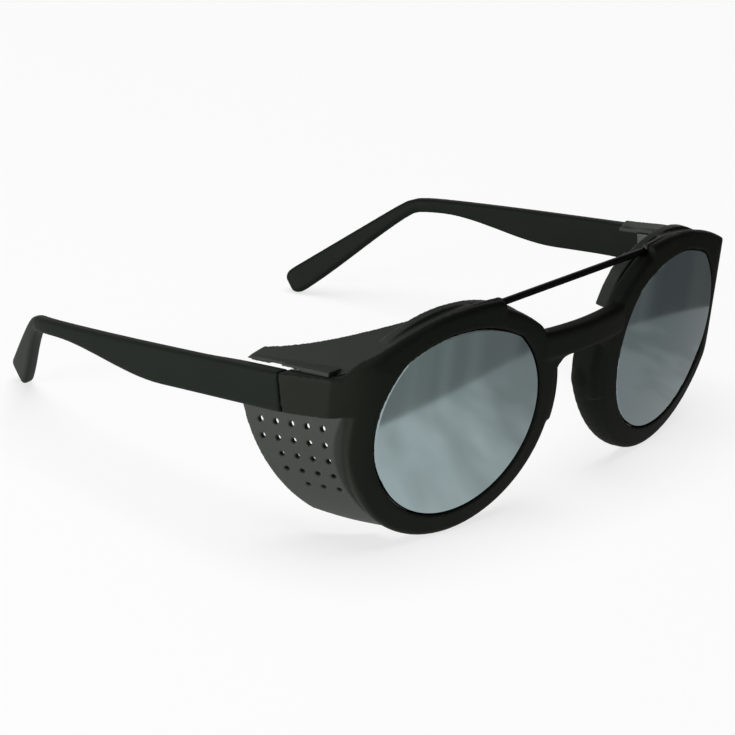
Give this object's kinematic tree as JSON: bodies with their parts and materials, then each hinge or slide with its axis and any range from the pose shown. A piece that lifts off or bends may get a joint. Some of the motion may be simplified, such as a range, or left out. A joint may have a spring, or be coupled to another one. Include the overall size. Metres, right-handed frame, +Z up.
{
  "type": "glacier glasses",
  "caption": "Glacier glasses with round mirrored lenses, a keyhole bridge, a thin brow bar, vented side shields and folding temples.",
  "frame": {"origin": "on the table, under the middle of the bounding box of the open glasses", "axes": "+X to the wearer's left, +Y backward along the temples, +Z up; the front looks along -Y"},
  "size_m": [0.1494, 0.1504, 0.0568],
  "materials": {
    "front_plastic": "fine matte, near black with a slight olive tint",
    "temple_plastic": "matte, near black",
    "shield_plastic": "matte, dark grey",
    "lens_mirror": "silver mirror coating over a grey lens",
    "bar_metal": "satin black paint",
    "hinge_metal": "satin",
    "screw_metal": "satin"
  },
  "bodies": {
    "frame": {"front_frame": "front_plastic", "left_lens": "lens_mirror", "right_lens": "lens_mirror", "brow_bar": "bar_metal", "left_side_shield": "shield_plastic", "right_side_shield": "shield_plastic", "left_hinge_front_leaf": "hinge_metal", "right_hinge_front_leaf": "hinge_metal", "left_hinge_screw": "screw_metal", "right_hinge_screw": "screw_metal", "front_leaf_screws": "screw_metal"},
    "left_temple": {"left_temple": "temple_plastic", "left_hinge_temple_leaf": "hinge_metal", "left_temple_leaf_screws": "screw_metal"},
    "right_temple": {"right_temple": "temple_plastic", "right_hinge_temple_leaf": "hinge_metal", "right_temple_leaf_screws": "screw_metal"}
  },
  "joints": [
    {"name": "left_temple_fold", "type": "hinge", "parent": "frame", "child": "left_temple", "pos_m": [0.06855, -0.04473, 0.04384], "axis": [0, 0.1355, 0.9908], "range_deg": [0, 85]},
    {"name": "right_temple_fold", "type": "hinge", "parent": "frame", "child": "right_temple", "pos_m": [-0.06855, -0.04473, 0.04384], "axis": [0, -0.1355, -0.9908], "range_deg": [0, 77]}
  ]
}
